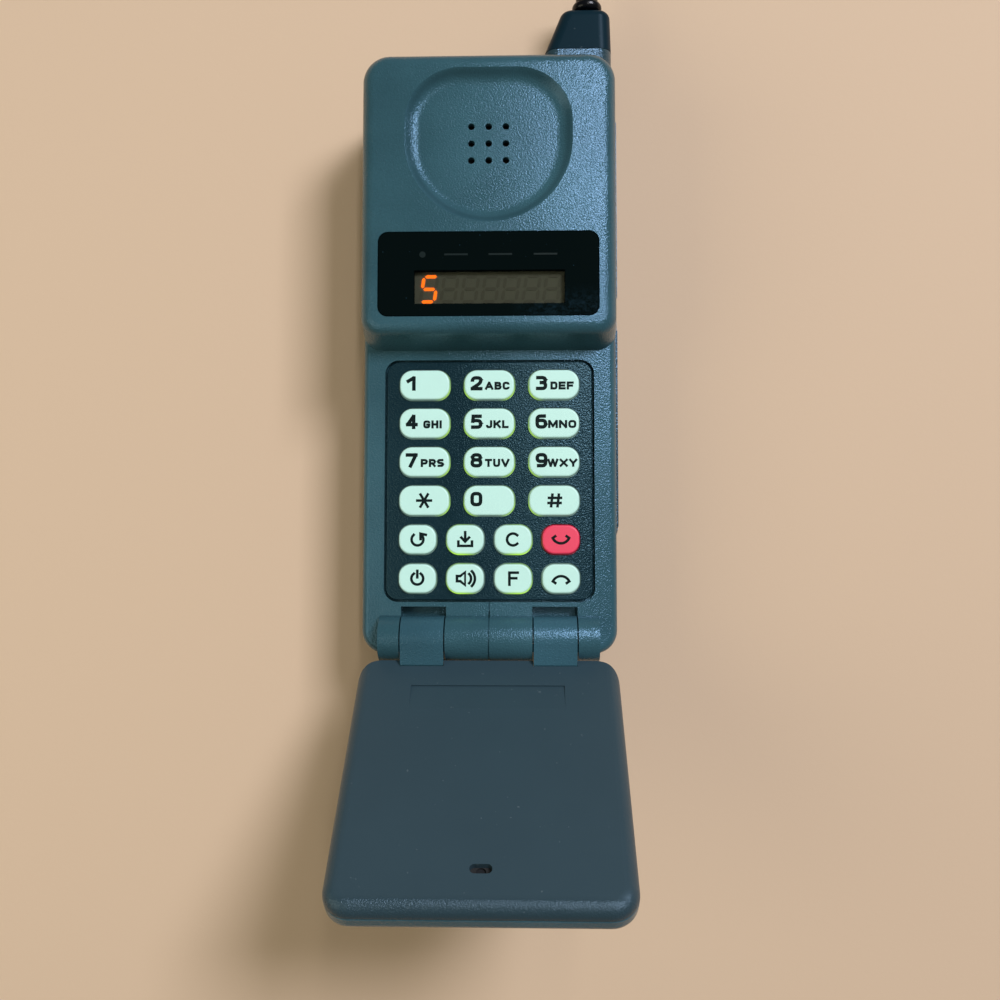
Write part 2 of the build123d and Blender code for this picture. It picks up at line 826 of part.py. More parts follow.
def hinge_spring():
    coil_radius = pin_radius - spring_wire_radius - spring_gap
    length = 2 * pin_inner_end - 4 * spring_wire_radius
    path = Helix(length / spring_turns, length, coil_radius)
    wire = sweep(Plane(path @ 0, z_dir=path % 0) * Circle(spring_wire_radius), path=path)
    return Pos(-length / 2, hinge_y, hinge_z) * Rot(0, 90, 0) * wire


# Display and earpiece -------------------------------------------------------------------------

def display_window():
    high_z = head_z - window_sink
    shape = slab(window_plan(fit_gap, window_corner - fit_gap), window_under_z, high_z)
    return chamfer(edges_at(shape, high_z), window_edge)


def led_display():
    """The digit module and the row of indicator lamps beyond it."""
    lamp_y = led_low_y + led_length + indicator_from_led
    solids = [block(about(0, led_width), (led_low_y, led_low_y + led_length), (led_z, led_top_z))]
    for x in row_places(indicator_count, indicator_pitch):
        solids.append(block(about(x, indicator_size), about(lamp_y, indicator_size),
                            (led_z, led_z + indicator_size)))
    return Compound(solids)


def display_board():
    return block(about(0, display_board_width), (display_board_low_y, display_board_high_y),
                 (display_board_z, led_z))


def earpiece_gasket():
    ring = rod(0, sound_y, gasket_z, dish_under_z, earpiece_radius)
    return ring - rod(0, sound_y, gasket_z - cut_past, head_z, gasket_hole_radius)


def earpiece():
    shape = rod(0, sound_y, gasket_z - earpiece_depth, gasket_z, earpiece_radius)
    shape = chamfer(edges_at(shape, gasket_z - earpiece_depth), earpiece_edge)
    return shape - rod(0, sound_y, gasket_z - earpiece_mouth_depth, head_z, earpiece_mouth_radius)


# Boards and what they carry -------------------------------------------------------------------

def screw_cuts(shape, radius):
    for x, y in screw_places:
        shape -= rod(x, y, rear_z, deck_z, radius)
    return shape


def logic_board():
    shape = block(about(0, 2 * (inner_half - board_gap)),
                  (cavity_low_y + board_gap, inner_top_y - wall), (logic_z, logic_top_z))
    shape = fillet(shape.edges().filter_by(Axis.Z), logic_corner)
    return screw_cuts(shape, screw_shank_radius + side_gap)


def processor_chips():
    return Compound([block(about(x, width), about(step_y + y, length), (logic_z - chip_depth, logic_z))
                     for x, y, width, length in chip_places])


def ringer():
    return rod(ringer_x, sound_y + ringer_from_sound, logic_top_z, logic_top_z + ringer_depth, ringer_radius)


def hook_switch():
    return block(about(magnet_x + hook_from_magnet, hook_width), about(step_y + hook_from_step, hook_length),
                 (logic_top_z, deck_under_z - fit_gap))


def radio_board():
    shape = block((-inner_half + board_gap, radio_right_x), (radio_low_y, radio_high_y),
                  (radio_z, radio_top_z))
    return screw_cuts(shape, rear_boss_radius + board_gap)


def shield_can(low_y, high_y):
    can = block((shield_left_x, shield_right_x), (low_y, high_y), (radio_top_z, shield_top_z))
    can = fillet(can.edges().filter_by(Axis.Z), shield_corner)
    return can - block((shield_left_x + shield_wall, shield_right_x - shield_wall),
                       (low_y + shield_wall, high_y - shield_wall),
                       (radio_top_z - cut_past, shield_top_z - shield_wall))


def shield_cans():
    """Two shields over the radio circuits, with the antenna filter's can between them."""
    filter_y = step_y - root
    low_can = shield_can(radio_low_y + shield_from_end, filter_y - filter_gap)
    high_y = filter_y + filter_length + filter_gap
    high_can = shield_can(high_y, high_y + shield_high_length)
    antenna_filter = block(about(0, filter_width), (filter_y, filter_y + filter_length),
                           (radio_top_z, radio_top_z + filter_depth))
    return Compound([low_can, high_can, antenna_filter])


def board_connectors():
    """The header that carries the display board, and the block between the two main boards."""
    high_y = display_board_high_y - header_inset
    header = block(about(0, header_width), (high_y - header_length, high_y), (logic_top_z, display_board_z))
    link_y = radio_high_y - link_inset
    link = block((link_left_x, link_left_x + link_width), (link_y - link_length, link_y),
                 (radio_top_z, logic_z))
    return Compound([header, link])


def contact_strip(x, grow):
    low_y = bottom_y + connector_inset - strip_proud
    low_z = floor_z + strip_from_floor
    return block(about(x, strip_width + 2 * grow), (low_y, low_y + strip_depth + grow),
                 (low_z - grow, low_z + strip_height + grow))


def accessory_connector():
    low_y = bottom_y + connector_inset
    shape = block(about(0, connector_width), (low_y, low_y + connector_length),
                  (floor_z, floor_z + connector_depth))
    for x in row_places(strip_count, strip_pitch):
        shape -= contact_strip(x, contact_gap)
    return shape


def contact_block():
    foot_z = rear_z + root
    shape = contact_opening(0) & block(about(0, body_width), about(contact_y, body_width), (foot_z, radio_z))
    for x in row_places(contact_count, contact_pitch):
        shape -= rod(x, contact_y, rear_z, radio_z - root, contact_radius + contact_gap)
    return shape


def phone_contacts():
    """The accessory connector's strips and the pins that meet the battery."""
    strips = [contact_strip(x, 0) for x in row_places(strip_count, strip_pitch)]
    pins = [rod(x, contact_y, rear_z + fit_gap, radio_z - root, contact_radius)
            for x in row_places(contact_count, contact_pitch)]
    return Compound(strips + pins)


def housing_screws():
    seat_z = rear_z + screw_recess
    head_low_z = seat_z - screw_head_depth
    screws = []
    for x, y in screw_places:
        head = rod(x, y, head_low_z, seat_z, screw_head_radius)
        head -= block(about(x, screw_slot_length), about(y, screw_slot_width),
                      (head_low_z - cut_past, head_low_z + screw_slot_depth))
        screws.append(head + rod(x, y, seat_z, logic_top_z + screw_bite, screw_shank_radius))
    return Compound(screws)


# Antenna --------------------------------------------------------------------------------------

def antenna_boot():
    facing = {"x_dir": (1, 0, 0), "z_dir": (0, 1, 0)}
    low = Plane(((tower_left_x + half_width) / 2, boot_y, rear_z + tower_depth / 2), **facing)
    high = Plane(((boot_top_left_x + boot_top_right_x) / 2, boot_top_y, antenna_z), **facing)
    low_face = low * RectangleRounded(half_width - tower_left_x, tower_depth, tower_corner)
    high_face = high * RectangleRounded(boot_top_right_x - boot_top_left_x, boot_top_depth, tower_corner)
    shape = loft([low_face, high_face], ruled=True)
    shape = fillet(shape.faces().sort_by(Axis.Y)[-1].edges(), boot_shoulder)
    return shape - rod_y(antenna_x, boot_y - cut_past, boot_top_y + cut_past, antenna_z,
                         mast_radius + pin_running_gap)


def antenna_tube():
    shape = rod_y(antenna_x, tube_end_y, boot_y, antenna_z, tube_outer_radius)
    return shape - rod_y(antenna_x, tube_end_y - cut_past, boot_y + cut_past, antenna_z,
                         ferrule_radius + pin_running_gap)


def antenna_clip():
    """A strap over the tube, with a foot on the floor each side."""
    low_y = tube_end_y + clip_from_end
    high_y = low_y + clip_length
    inner = tube_outer_radius + contact_gap
    outer = inner + clip_depth
    strap = rod_y(antenna_x, low_y, high_y, antenna_z, outer)
    strap += block((antenna_x - outer - clip_foot, antenna_x + outer - clip_depth), (low_y, high_y),
                   (floor_z, floor_z + clip_depth))
    strap -= rod_y(antenna_x, low_y - cut_past, high_y + cut_past, antenna_z, inner)
    return strap & block((0, half_width), (low_y, high_y), (floor_z, head_z))


def antenna_mast():
    low_y = knob_y - mast_length
    shape = rod_y(antenna_x, low_y, knob_y, antenna_z, mast_radius)
    return shape + rod_y(antenna_x, low_y, low_y + ferrule_length, antenna_z, ferrule_radius)


def antenna_knob():
    neck_y = knob_y + knob_flange_length
    cap_y = neck_y + knob_neck_length
    flange = rod_y(antenna_x, knob_y, neck_y, antenna_z, knob_flange_radius)
    flange = fillet(flange.edges(), knob_flange_edge)
    cap = rod_y(antenna_x, cap_y, cap_y + knob_cap_length, antenna_z, knob_cap_radius)
    cap = fillet(cap.edges(), knob_cap_edge)
    return flange + cap + rod_y(antenna_x, neck_y - root, cap_y + root, antenna_z, knob_neck_radius)


# Battery --------------------------------------------------------------------------------------

def latch_room():
    """The space the latch slides in, with a groove for its side rails."""
    space = block((-pocket_half, pocket_half), (pocket_low_y, pocket_high_y), (-cut_past, pocket_roof_z))
    half = pocket_half + latch_rail
    rail_z = latch_rail_z - side_gap
    return space + block((-half, half), (pocket_low_y, pocket_high_y), (rail_z, pocket_roof_z))


def latch_walls():
    """The box round the latch's space."""
    grow = latch_rail + latch_roof
    half = pocket_half + grow
    return block((-half, half), (pocket_low_y - grow, pocket_high_y + grow),
                 (root, pocket_roof_z + latch_roof))


def battery_case():
    plan = outline(battery_width, -battery_reach, battery_reach, battery_corner, battery_corner)
    shape = slab(plan, 0, battery_depth)
    shape = fillet(edges_at(shape, 0), battery_edge)
    rail_top_z = battery_depth + rail_height
    for side in (-1, 1):
        x = sorted((side * (half_width + side_gap), side * battery_half))
        rail_reach = battery_reach - battery_corner
        rail = block(x, (-rail_reach, rail_reach), (battery_depth - root, rail_top_z))
        shape += rail
        shape -= block(x, about(rail_break_y, rail_break_length),
                       (battery_depth - root, rail_top_z + cut_past))
    inner_half_width = half_width - battery_wall
    shape -= block((-inner_half_width, inner_half_width), (-cell_reach, cell_reach), (battery_wall, lid_z))
    shape -= slab(outline(body_width, -cell_reach, cell_reach, battery_corner, battery_corner),
                  lid_z, battery_depth + cut_past)
    shape += latch_walls()
    shape -= latch_room()
    for side, y in tab_places():
        x = sorted((side * (half_width - tab_reach), side * (half_width + side_gap + root)))
        shape += block(x, about(y, tab_length), (rail_top_z - tab_depth, rail_top_z))
    return shape


def battery_lid():
    reach = cell_reach - fit_gap
    shape = slab(outline(body_width - 2 * fit_gap, -reach, reach, battery_corner, battery_corner),
                 lid_z, battery_depth - contact_gap)
    for x in row_places(contact_count, contact_pitch):
        shape -= rod(x, contact_y, lid_z - cut_past, battery_depth + cut_past,
                     contact_radius + pad_grow + fit_gap)
    return shape


def battery_cells():
    """Five flat cells; the sixth place is left to the latch and the contact board."""
    cells = []
    for x in row_places(3, cell_width + cell_gap):
        for row in (-1, 1):
            if x == 0 and row == 1:
                continue
            y = row * (cell_length + cell_row_gap) / 2 - cell_shift
            cell = block(about(x, cell_width), about(y, cell_length), (battery_wall, lid_z - cell_lid_gap))
            cells.append(fillet(cell.edges().filter_by(Axis.Y), cell_corner))
    return Compound(cells)


def battery_board():
    high_z = lid_z - cell_board_below_lid
    shape = block(about(0, cell_board_width), about(contact_y, cell_board_length),
                  (high_z - board_depth, high_z))
    for x in (-cell_board_post_x, cell_board_post_x):
        for y in (contact_y - cell_board_post_y, contact_y + cell_board_post_y):
            shape += rod(x, y, battery_wall, high_z - board_depth / 2, cell_board_post_radius)
    return shape


def battery_contacts():
    low_z = lid_z - cell_board_below_lid
    return Compound([rod(x, contact_y, low_z, low_z + pad_depth, contact_radius + pad_grow)
                     for x in row_places(contact_count, contact_pitch)])


def battery_latch():
    high_y = pocket_high_y - side_gap
    low_y = high_y - latch_length
    half = latch_width / 2
    rail_half = half + latch_rail - fit_gap
    shape = block((-half, half), (low_y, high_y), (latch_sink, latch_sink + latch_depth))
    shape += block((-rail_half, rail_half), (low_y, high_y), (latch_rail_z, latch_rail_z + latch_rail_depth))
    for index in range(latch_rib_count):
        y = high_y - (index + 1) * latch_rib_pitch
        shape -= block((-half + latch_rib_margin, half - latch_rib_margin), about(y, latch_rib_width),
                       (latch_sink - cut_past, latch_sink + latch_rib_depth))
    return shape


# Write every piece ----------------------------------------------------------------------------

pieces = {
    "front_housing": front_housing(),
    "rear_housing": rear_housing(),
    "keypad_bezel": keypad_bezel(),
    "keypad_mat": keypad_mat(),
    "light_guide": light_guide(),
    "display_window": display_window(),
    "led_display": led_display(),
    "display_board": display_board(),
    "earpiece": earpiece(),
    "earpiece_gasket": earpiece_gasket(),
    "logic_board": logic_board(),
    "processor_chips": processor_chips(),
    "ringer": ringer(),
    "hook_switch": hook_switch(),
    "radio_board": radio_board(),
    "shield_cans": shield_cans(),
    "board_connectors": board_connectors(),
    "accessory_connector": accessory_connector(),
    "contact_block": contact_block(),
    "phone_contacts": phone_contacts(),
    "housing_screws": housing_screws(),
    "hinge_pins": hinge_pins(),
    "hinge_spring": hinge_spring(),
    "antenna_boot": antenna_boot(),
    "antenna_tube": antenna_tube(),
    "antenna_clip": antenna_clip(),
    "antenna_mast": antenna_mast(),
    "antenna_knob": antenna_knob(),
    "flip_outer_shell": swing_open(flip_outer_shell()),
    "flip_inner_cover": swing_open(flip_inner_cover()),
    "microphone": swing_open(microphone()),
    "microphone_boot": swing_open(microphone_boot()),
    "microphone_flex": swing_open(microphone_flex()),
    "flip_magnet": swing_open(flip_magnet()),
    "battery_case": battery_case(),
    "battery_lid": battery_lid(),
    "battery_cells": battery_cells(),
    "battery_board": battery_board(),
    "battery_contacts": battery_contacts(),
    "battery_latch": battery_latch(),
}
for key_name, *place in keys():
    pieces["key_" + key_name] = key(*place)

os.makedirs("parts", exist_ok=True)
for name, shape in pieces.items():
    export_step(shape, "parts/" + name + ".step")
print(len(pieces), "pieces written")
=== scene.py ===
import math

import bmesh
import bpy
from mathutils import Matrix, Vector


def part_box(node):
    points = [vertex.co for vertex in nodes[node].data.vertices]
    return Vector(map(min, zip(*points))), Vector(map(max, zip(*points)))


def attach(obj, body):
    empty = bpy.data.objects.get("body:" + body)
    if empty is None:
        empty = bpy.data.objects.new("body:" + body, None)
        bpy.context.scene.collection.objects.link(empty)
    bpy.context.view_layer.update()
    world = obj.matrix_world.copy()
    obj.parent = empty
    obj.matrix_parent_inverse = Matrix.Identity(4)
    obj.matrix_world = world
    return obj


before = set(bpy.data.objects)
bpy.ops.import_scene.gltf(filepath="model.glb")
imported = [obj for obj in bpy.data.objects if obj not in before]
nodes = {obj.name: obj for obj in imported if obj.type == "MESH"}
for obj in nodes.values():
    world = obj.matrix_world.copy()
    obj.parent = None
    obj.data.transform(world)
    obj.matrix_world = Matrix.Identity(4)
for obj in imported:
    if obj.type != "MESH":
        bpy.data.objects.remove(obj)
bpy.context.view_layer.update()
mm = 0.001


class Wire:
    # an output socket that can be used in sums
    def __init__(self, paint, socket):
        self.paint = paint
        self.socket = socket

    def maths(self, operation, *parts):
        return self.paint.add("ShaderNodeMath", {"operation": operation}, dict(enumerate(parts)))

    def __add__(self, other):
        return self.maths("ADD", self, other)

    def __sub__(self, other):
        return self.maths("SUBTRACT", self, other)

    def __rsub__(self, other):
        return self.maths("SUBTRACT", other, self)

    def __mul__(self, other):
        return self.maths("MULTIPLY", self, other)

    def __abs__(self):
        return self.maths("ABSOLUTE", self)

    __radd__ = __add__
    __rmul__ = __mul__

    def above(self, edge, soft):
        # 0 below the edge, 1 above it, with a soft step between
        sockets = {"Value": self, "From Min": edge - soft, "From Max": edge + soft}
        return self.paint.add("ShaderNodeMapRange", {"interpolation_type": "SMOOTHSTEP"}, sockets)

    def between(self, low, high, soft):
        return self.above(low, soft) * (1 - self.above(high, soft))


class Paint:
    # one material and its nodes
    def __init__(self, name):
        self.material = bpy.data.materials.new(name)
        self.material.use_nodes = True
        self.tree = self.material.node_tree
        self.tree.nodes.clear()
        self.finish = self.tree.nodes.new("ShaderNodeOutputMaterial")

    def add(self, kind, settings=None, sockets=None, output=0):
        node = self.tree.nodes.new(kind)
        for key, value in (settings or {}).items():
            setattr(node, key, value)
        for key, value in (sockets or {}).items():
            self.join(node.inputs[key], value)
        return Wire(self, node.outputs[output])

    def join(self, socket, value):
        if isinstance(value, Wire):
            self.tree.links.new(value.socket, socket)
        elif socket.type == "RGBA":
            socket.default_value = (*value, 1.0)
        else:
            socket.default_value = value

    def place(self):
        return self.add("ShaderNodeTexCoord", output="Object")

    def axis(self, name):
        return self.add("ShaderNodeSeparateXYZ", sockets={0: self.place()}, output=name)

    def share(self, name):
        # 0 to 1 along an axis of the piece's own box
        generated = self.add("ShaderNodeTexCoord", output="Generated")
        return self.add("ShaderNodeSeparateXYZ", sockets={0: generated}, output=name)

    def noise(self, size, detail=2.0, roughness=0.5, spot=None):
        sockets = {"Vector": spot or self.place(), "Scale": 1 / size, "Detail": detail,
                   "Roughness": roughness}
        return self.add("ShaderNodeTexNoise", sockets=sockets)

    def cells(self, size, feature="F1"):
        sockets = {"Vector": self.place(), "Scale": 1 / size}
        return self.add("ShaderNodeTexVoronoi", {"feature": feature}, sockets)

    def blend(self, factor, first, second):
        sockets = {"Factor": factor, 6: first, 7: second}
        return self.add("ShaderNodeMix", {"data_type": "RGBA"}, sockets, output=2)

    def bump(self, height, depth, under=None):
        sockets = {"Height": height, "Distance": depth}
        if under:
            sockets["Normal"] = under
        return self.add("ShaderNodeBump", sockets=sockets, output="Normal")

    def surface(self, **sockets):
        named = {key.replace("_", " "): value for key, value in sockets.items()}
        shader = self.add("ShaderNodeBsdfPrincipled", sockets=named)
        self.join(self.finish.inputs["Surface"], shader)
        return self.material


def srgb(red, green, blue):
    # linear colour from screen values of 0 to 255
    parts = [part / 255 for part in (red, green, blue)]
    return tuple(part / 12.92 if part <= 0.04045 else ((part + 0.055) / 1.055) ** 2.4 for part in parts)


def darker(colour, share):
    return tuple(part * share for part in colour)


# Grained plastic: fine pebbles that catch the light on a slightly crowned face, rubbed smoother
# along the sides, with painted shade darkening the slope of the ear dish
housingLook = {
    "colour": srgb(58, 96, 107),
    "shade": srgb(49, 83, 93),
    "grain": 0.38 * mm,
    "pebble": 0.36 * mm,
    "depth": 0.11 * mm,
    "cloud": 22 * mm,
    "dust": 3.5 * mm,
    "roughness": 0.15,
    "glint": (0.42, 0.70, 1.0),
    "crown": 140 * mm,
    "rubbed": {"from": 28.6 * mm, "soft": 0.6 * mm, "patch": 7 * mm, "share": 0.3},
    # the slope band of the ear dish, darkened by a share as painted shade
    "dish": {"middle": 40 * mm, "reach": 22 * mm, "edge": 1 * mm, "low": 31.3 * mm, "high": 32.2 * mm,
             "soft": 0.4 * mm, "share": 0.4},
}


def dishSlope(paint):
    # 1 on the slope of the ear dish, where shade is painted into the colour and the grain is halved
    dish = housingLook["dish"]
    slope = paint.axis("Z").between(dish["low"], dish["high"], dish["soft"])
    beside = abs(paint.axis("X")).above(dish["reach"], dish["edge"])
    beyond = abs(paint.axis("Y") - dish["middle"]).above(dish["reach"], dish["edge"])
    return slope * (1 - beside) * (1 - beyond)


def grainedPlastic(name, changes):
    look = {**housingLook, **changes}
    paint = Paint(name)
    pebbles = paint.cells(look["pebble"], "SMOOTH_F1")
    grain = paint.noise(look["grain"], 3.0, 0.6)
    cloud = paint.noise(look["cloud"])
    dust = paint.noise(look["dust"], 4.0, 0.7).above(0.62, 0.12)
    x = paint.axis("X")
    rub = look["rubbed"]
    rubbed = abs(x).above(rub["from"], rub["soft"]) * paint.noise(rub["patch"], 3.0)
    slope = dishSlope(paint)
    colour = paint.blend(cloud.above(0.5, 0.25), look["shade"], look["colour"])
    colour = paint.blend(grain.above(0.5, 0.2) * 0.3, colour, darker(look["shade"], 0.7))
    colour = paint.blend(rubbed * rub["share"], colour, darker(look["colour"], 1.3))
    # painted shade on the slope of the ear dish
    colour = paint.blend(slope * look["dish"]["share"], colour, darker(look["shade"], 0.5))
    rough = look["roughness"] + dust * 0.10 + cloud * 0.05 - rubbed * 0.08
    height = (grain * 0.7 + (1 - pebbles) * 0.6) * (1 - slope * 0.5)
    crowned = paint.bump(x * x * (-0.5 / look["crown"]), 1.0)
    return paint.surface(Base_Color=colour, Roughness=rough,
                         Normal=paint.bump(height, look["depth"], crowned), Specular_Tint=look["glint"])


# Satin plastic: nearly smooth, with faint finger marks
coverLook = {
    "colour": srgb(47, 67, 76),
    "shade": srgb(43, 62, 71),
    "roughness": 0.48,
    "shine": 0.5,
    "glint": (0.6, 0.82, 1.0),
    "pore": 0.12 * mm,
    "depth": 0.006 * mm,
    "cloud": 18 * mm,
    "smear": 6 * mm,
    "speck": 1.1 * mm,
    "speckColour": srgb(120, 135, 140),
    "rimGrain": 26.0,
}
# the rounded rim of the open flip's cover, which is grained
rimLook = {
    "slope": math.radians(48.5),
    "hinge": (-77.6 * mm, 23.5 * mm),
    "reach": 64.4 * mm,
    "side": 27.6 * mm,
    "soft": 0.5 * mm,
}


def coverRim(paint):
    # 1 on the cover's tip, less on its sides
    slope, (hingeY, hingeZ) = rimLook["slope"], rimLook["hinge"]
    along = (paint.axis("Z") - hingeZ) * math.sin(slope) - (paint.axis("Y") - hingeY) * math.cos(slope)
    tip = along.above(rimLook["reach"], rimLook["soft"])
    side = abs(paint.axis("X")).above(rimLook["side"], rimLook["soft"])
    return 1 - (1 - tip) * (1 - side * 0.6)


def satinPlastic(name, changes):
    look = {**coverLook, **changes}
    paint = Paint(name)
    cloud = paint.noise(look["cloud"], 3.0)
    smear = paint.noise(look["smear"], 3.0, 0.65).above(0.58, 0.14)
    specks = paint.noise(look["speck"]).above(0.755, 0.015)
    colour = paint.blend(cloud, look["shade"], look["colour"])
    colour = paint.blend(specks * 0.35, colour, look["speckColour"])
    rough = look["roughness"] + smear * 0.03 - cloud * 0.02
    pores = paint.noise(look["pore"], 2.0, 0.6)
    if look["rimGrain"]:
        rim = coverRim(paint)
        rough = rough - rim * 0.24
        pores = pores + paint.noise(housingLook["grain"], 3.0, 0.6) * rim * look["rimGrain"]
    return paint.surface(Base_Color=colour, Roughness=rough, Normal=paint.bump(pores, look["depth"]),
                         Specular_IOR_Level=look["shine"], Specular_Tint=look["glint"])


# Display window: black print behind polished acrylic, with a clear patch over the digits
windowLook = {
    "print": srgb(3, 12, 13),
    "roughness": 0.05,
    "shine": 0.12,
    "patch": {"left": -17.1 * mm, "right": 17.7 * mm, "low": -0.4 * mm, "high": 7.4 * mm,
              "soft": 0.12 * mm},
    "smoke": (0.60, 0.61, 0.58),
    "seen": 0.92,
    "smudge": {"from": 9 * mm, "to": 1.5 * mm, "wide": 5 * mm, "tall": 3 * mm, "size": 1.0 * mm},
    "speck": 0.77 * mm,
    "dirt": srgb(70, 118, 145),
}


def smokedWindow():
    paint = Paint("smokedWindow")
    x, y = paint.axis("X"), paint.axis("Y")
    patch, smear = windowLook["patch"], windowLook["smudge"]
    clear = x.between(patch["left"], patch["right"], patch["soft"])
    clear = clear * y.between(patch["low"], patch["high"], patch["soft"])
    corner = x.above(smear["from"], smear["wide"]) * (1 - y.above(smear["to"], smear["tall"]))
    smudge = paint.noise(smear["size"], 5.0, 0.75).above(0.54, 0.14) * corner
    specks = paint.noise(windowLook["speck"]).above(0.765, 0.015)
    colour = paint.blend(smudge * 0.06 + specks * 0.3, windowLook["print"], windowLook["dirt"])
    shell = paint.add("ShaderNodeBsdfPrincipled", sockets={
        "Base Color": colour, "Roughness": windowLook["roughness"] + smudge * 0.04,
        "Specular IOR Level": windowLook["shine"]})
    pane = paint.add("ShaderNodeBsdfTransparent", sockets={"Color": windowLook["smoke"]})
    mixed = paint.add("ShaderNodeMixShader", sockets={0: clear * windowLook["seen"], 1: shell, 2: pane})
    paint.join(paint.finish.inputs["Surface"], mixed)
    return paint.material


# Keys: translucent caps lit from lamps that stand between the columns, with painted shade on their rounded
# rims
keyLook = {
    "pale": (0.45, 0.69, 0.62),
    # the rim colours are the caps' colours darkened as painted shade on their rounded edges
    "paleRimShade": (0.33, 0.47, 0.44),
    "paleLight": (0.12, 0.20, 0.17),
    "red": srgb(226, 62, 92),
    "redRimShade": srgb(196, 52, 74),
    "redLight": srgb(92, 12, 30),
    "roughness": 0.36,
    "rim": 0.40 * mm,
    "cloud": 5 * mm,
    "pore": 0.15 * mm,
    "depth": 0.003 * mm,
    "glow": srgb(176, 230, 60),
    "lamp": {"column": 7.65 * mm, "reach": 3.2 * mm, "soft": 2.6 * mm},
    "foot": {"edge": 0.09, "edgeSoft": 0.08, "half": 0.35, "halfSoft": 0.30},
    "guide": srgb(40, 56, 36),
    "guideRipple": 0.6 * mm,
    "guideStrength": 0.16,
}


def lampReach(paint):
    # 1 beside the lamps between the columns, falling away from them
    lamp = keyLook["lamp"]
    return 1 - abs(abs(paint.axis("X")) - lamp["column"]).above(lamp["reach"], lamp["soft"])


def litKey(name, colour, rimShadeColour, light):
    # the lamps' light shows in the key's rim, most at its lower side
    paint = Paint(name)
    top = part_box("key_5")[1].z
    face = paint.axis("Z").above(top - keyLook["rim"] * 0.45, keyLook["rim"] * 0.4)
    share, foot = paint.share("Y"), keyLook["foot"]
    near = 1 - share.above(foot["edge"], foot["edgeSoft"])
    low = 1 - share.above(foot["half"], foot["halfSoft"])
    reach = lampReach(paint)
    cloud = paint.noise(keyLook["cloud"])
    # the rounded rim takes the darker rim colour: painted shade
    shade = paint.blend(face, rimShadeColour, colour)
    shade = paint.blend(cloud.above(0.55, 0.25) * 0.10, shade, rimShadeColour)
    emitted = paint.blend(face, darker(light, 0.6), light)
    emitted = paint.blend((1 - face) * reach * (0.2 + 0.6 * low), emitted, keyLook["glow"])
    emitted = paint.blend(near * face * reach * 0.7, emitted, keyLook["glow"])
    pores = paint.noise(keyLook["pore"], 1.0)
    return paint.surface(Base_Color=shade, Roughness=keyLook["roughness"] + cloud * 0.08,
                         Normal=paint.bump(pores, keyLook["depth"]),
                         Emission_Color=emitted, Emission_Strength=1.0)


def lightGuide():
    paint = Paint("lightGuide")
    strength = 0.08 + 0.92 * lampReach(paint)
    ripple = paint.noise(keyLook["guideRipple"])
    emitted = paint.blend(strength * (0.8 + 0.2 * ripple), darker(keyLook["glow"], 0.05), keyLook["glow"])
    return paint.surface(Base_Color=keyLook["guide"], Roughness=0.4 + ripple * 0.1,
                         Emission_Color=emitted, Emission_Strength=keyLook["guideStrength"])


# Materials of the smaller parts
plainLook = {"grain": 0.2 * mm, "depth": 0.008 * mm, "cloud": 12 * mm}
metalLook = {"brush": 0.4 * mm, "stretch": (1.0, 0.08, 1.0), "depth": 0.004 * mm, "tarnish": 5 * mm}
boardLook = {
    "mask": srgb(18, 84, 46),
    "track": srgb(40, 120, 70),
    "pad": srgb(205, 180, 110),
    "trackSpacing": 1.8 * mm,
    "padSpacing": 2.6 * mm,
    "depth": 0.01 * mm,
}
foamLook = {"colour": srgb(34, 34, 34), "pore": 0.25 * mm, "depth": 0.02 * mm}
glowRipple = 0.5 * mm


def plainPlastic(name, colour, roughness, shine=0.5):
    paint = Paint(name)
    fine = paint.noise(plainLook["grain"], 2.0, 0.6)
    cloud = paint.noise(plainLook["cloud"])
    return paint.surface(Base_Color=paint.blend(cloud, darker(colour, 0.8), colour),
                         Roughness=roughness + cloud * 0.06, Normal=paint.bump(fine, plainLook["depth"]),
                         Specular_IOR_Level=shine)


def metal(name, colour, roughness):
    paint = Paint(name)
    stretched = paint.add("ShaderNodeMapping",
                          sockets={"Vector": paint.place(), "Scale": metalLook["stretch"]})
    brushed = paint.noise(metalLook["brush"], 3.0, 0.6, stretched)
    tarnish = paint.noise(metalLook["tarnish"], 3.0).above(0.6, 0.15)
    return paint.surface(Base_Color=paint.blend(tarnish * 0.5, colour, darker(colour, 0.75)), Metallic=1.0,
                         Roughness=roughness + brushed * 0.12,
                         Normal=paint.bump(brushed, metalLook["depth"]))


def solderMask():
    # green board with copper tracks under the mask and bright pads
    paint = Paint("solderMask")
    tracks = paint.cells(boardLook["trackSpacing"], "DISTANCE_TO_EDGE").above(0.06, 0.02)
    pads = 1 - paint.cells(boardLook["padSpacing"]).above(0.16, 0.02)
    colour = paint.blend(tracks, boardLook["track"], boardLook["mask"])
    colour = paint.blend(pads, colour, boardLook["pad"])
    return paint.surface(Base_Color=colour, Roughness=0.45 - pads * 0.1,
                         Normal=paint.bump(tracks, boardLook["depth"]))


def foamRubber():
    paint = Paint("foamRubber")
    pores = paint.cells(foamLook["pore"])
    colour = foamLook["colour"]
    return paint.surface(Base_Color=paint.blend(pores, colour, darker(colour, 0.6)),
                         Roughness=0.75 + pores * 0.1, Normal=paint.bump(pores, foamLook["depth"]))


def glowing(name, colour, light, strength):
    # lights up by itself, a little unevenly
    paint = Paint(name)
    ripple = paint.noise(glowRipple)
    return paint.surface(Base_Color=colour, Roughness=0.4 + ripple * 0.05,
                         Emission_Color=paint.blend(ripple, light, darker(light, 0.8)),
                         Emission_Strength=strength)


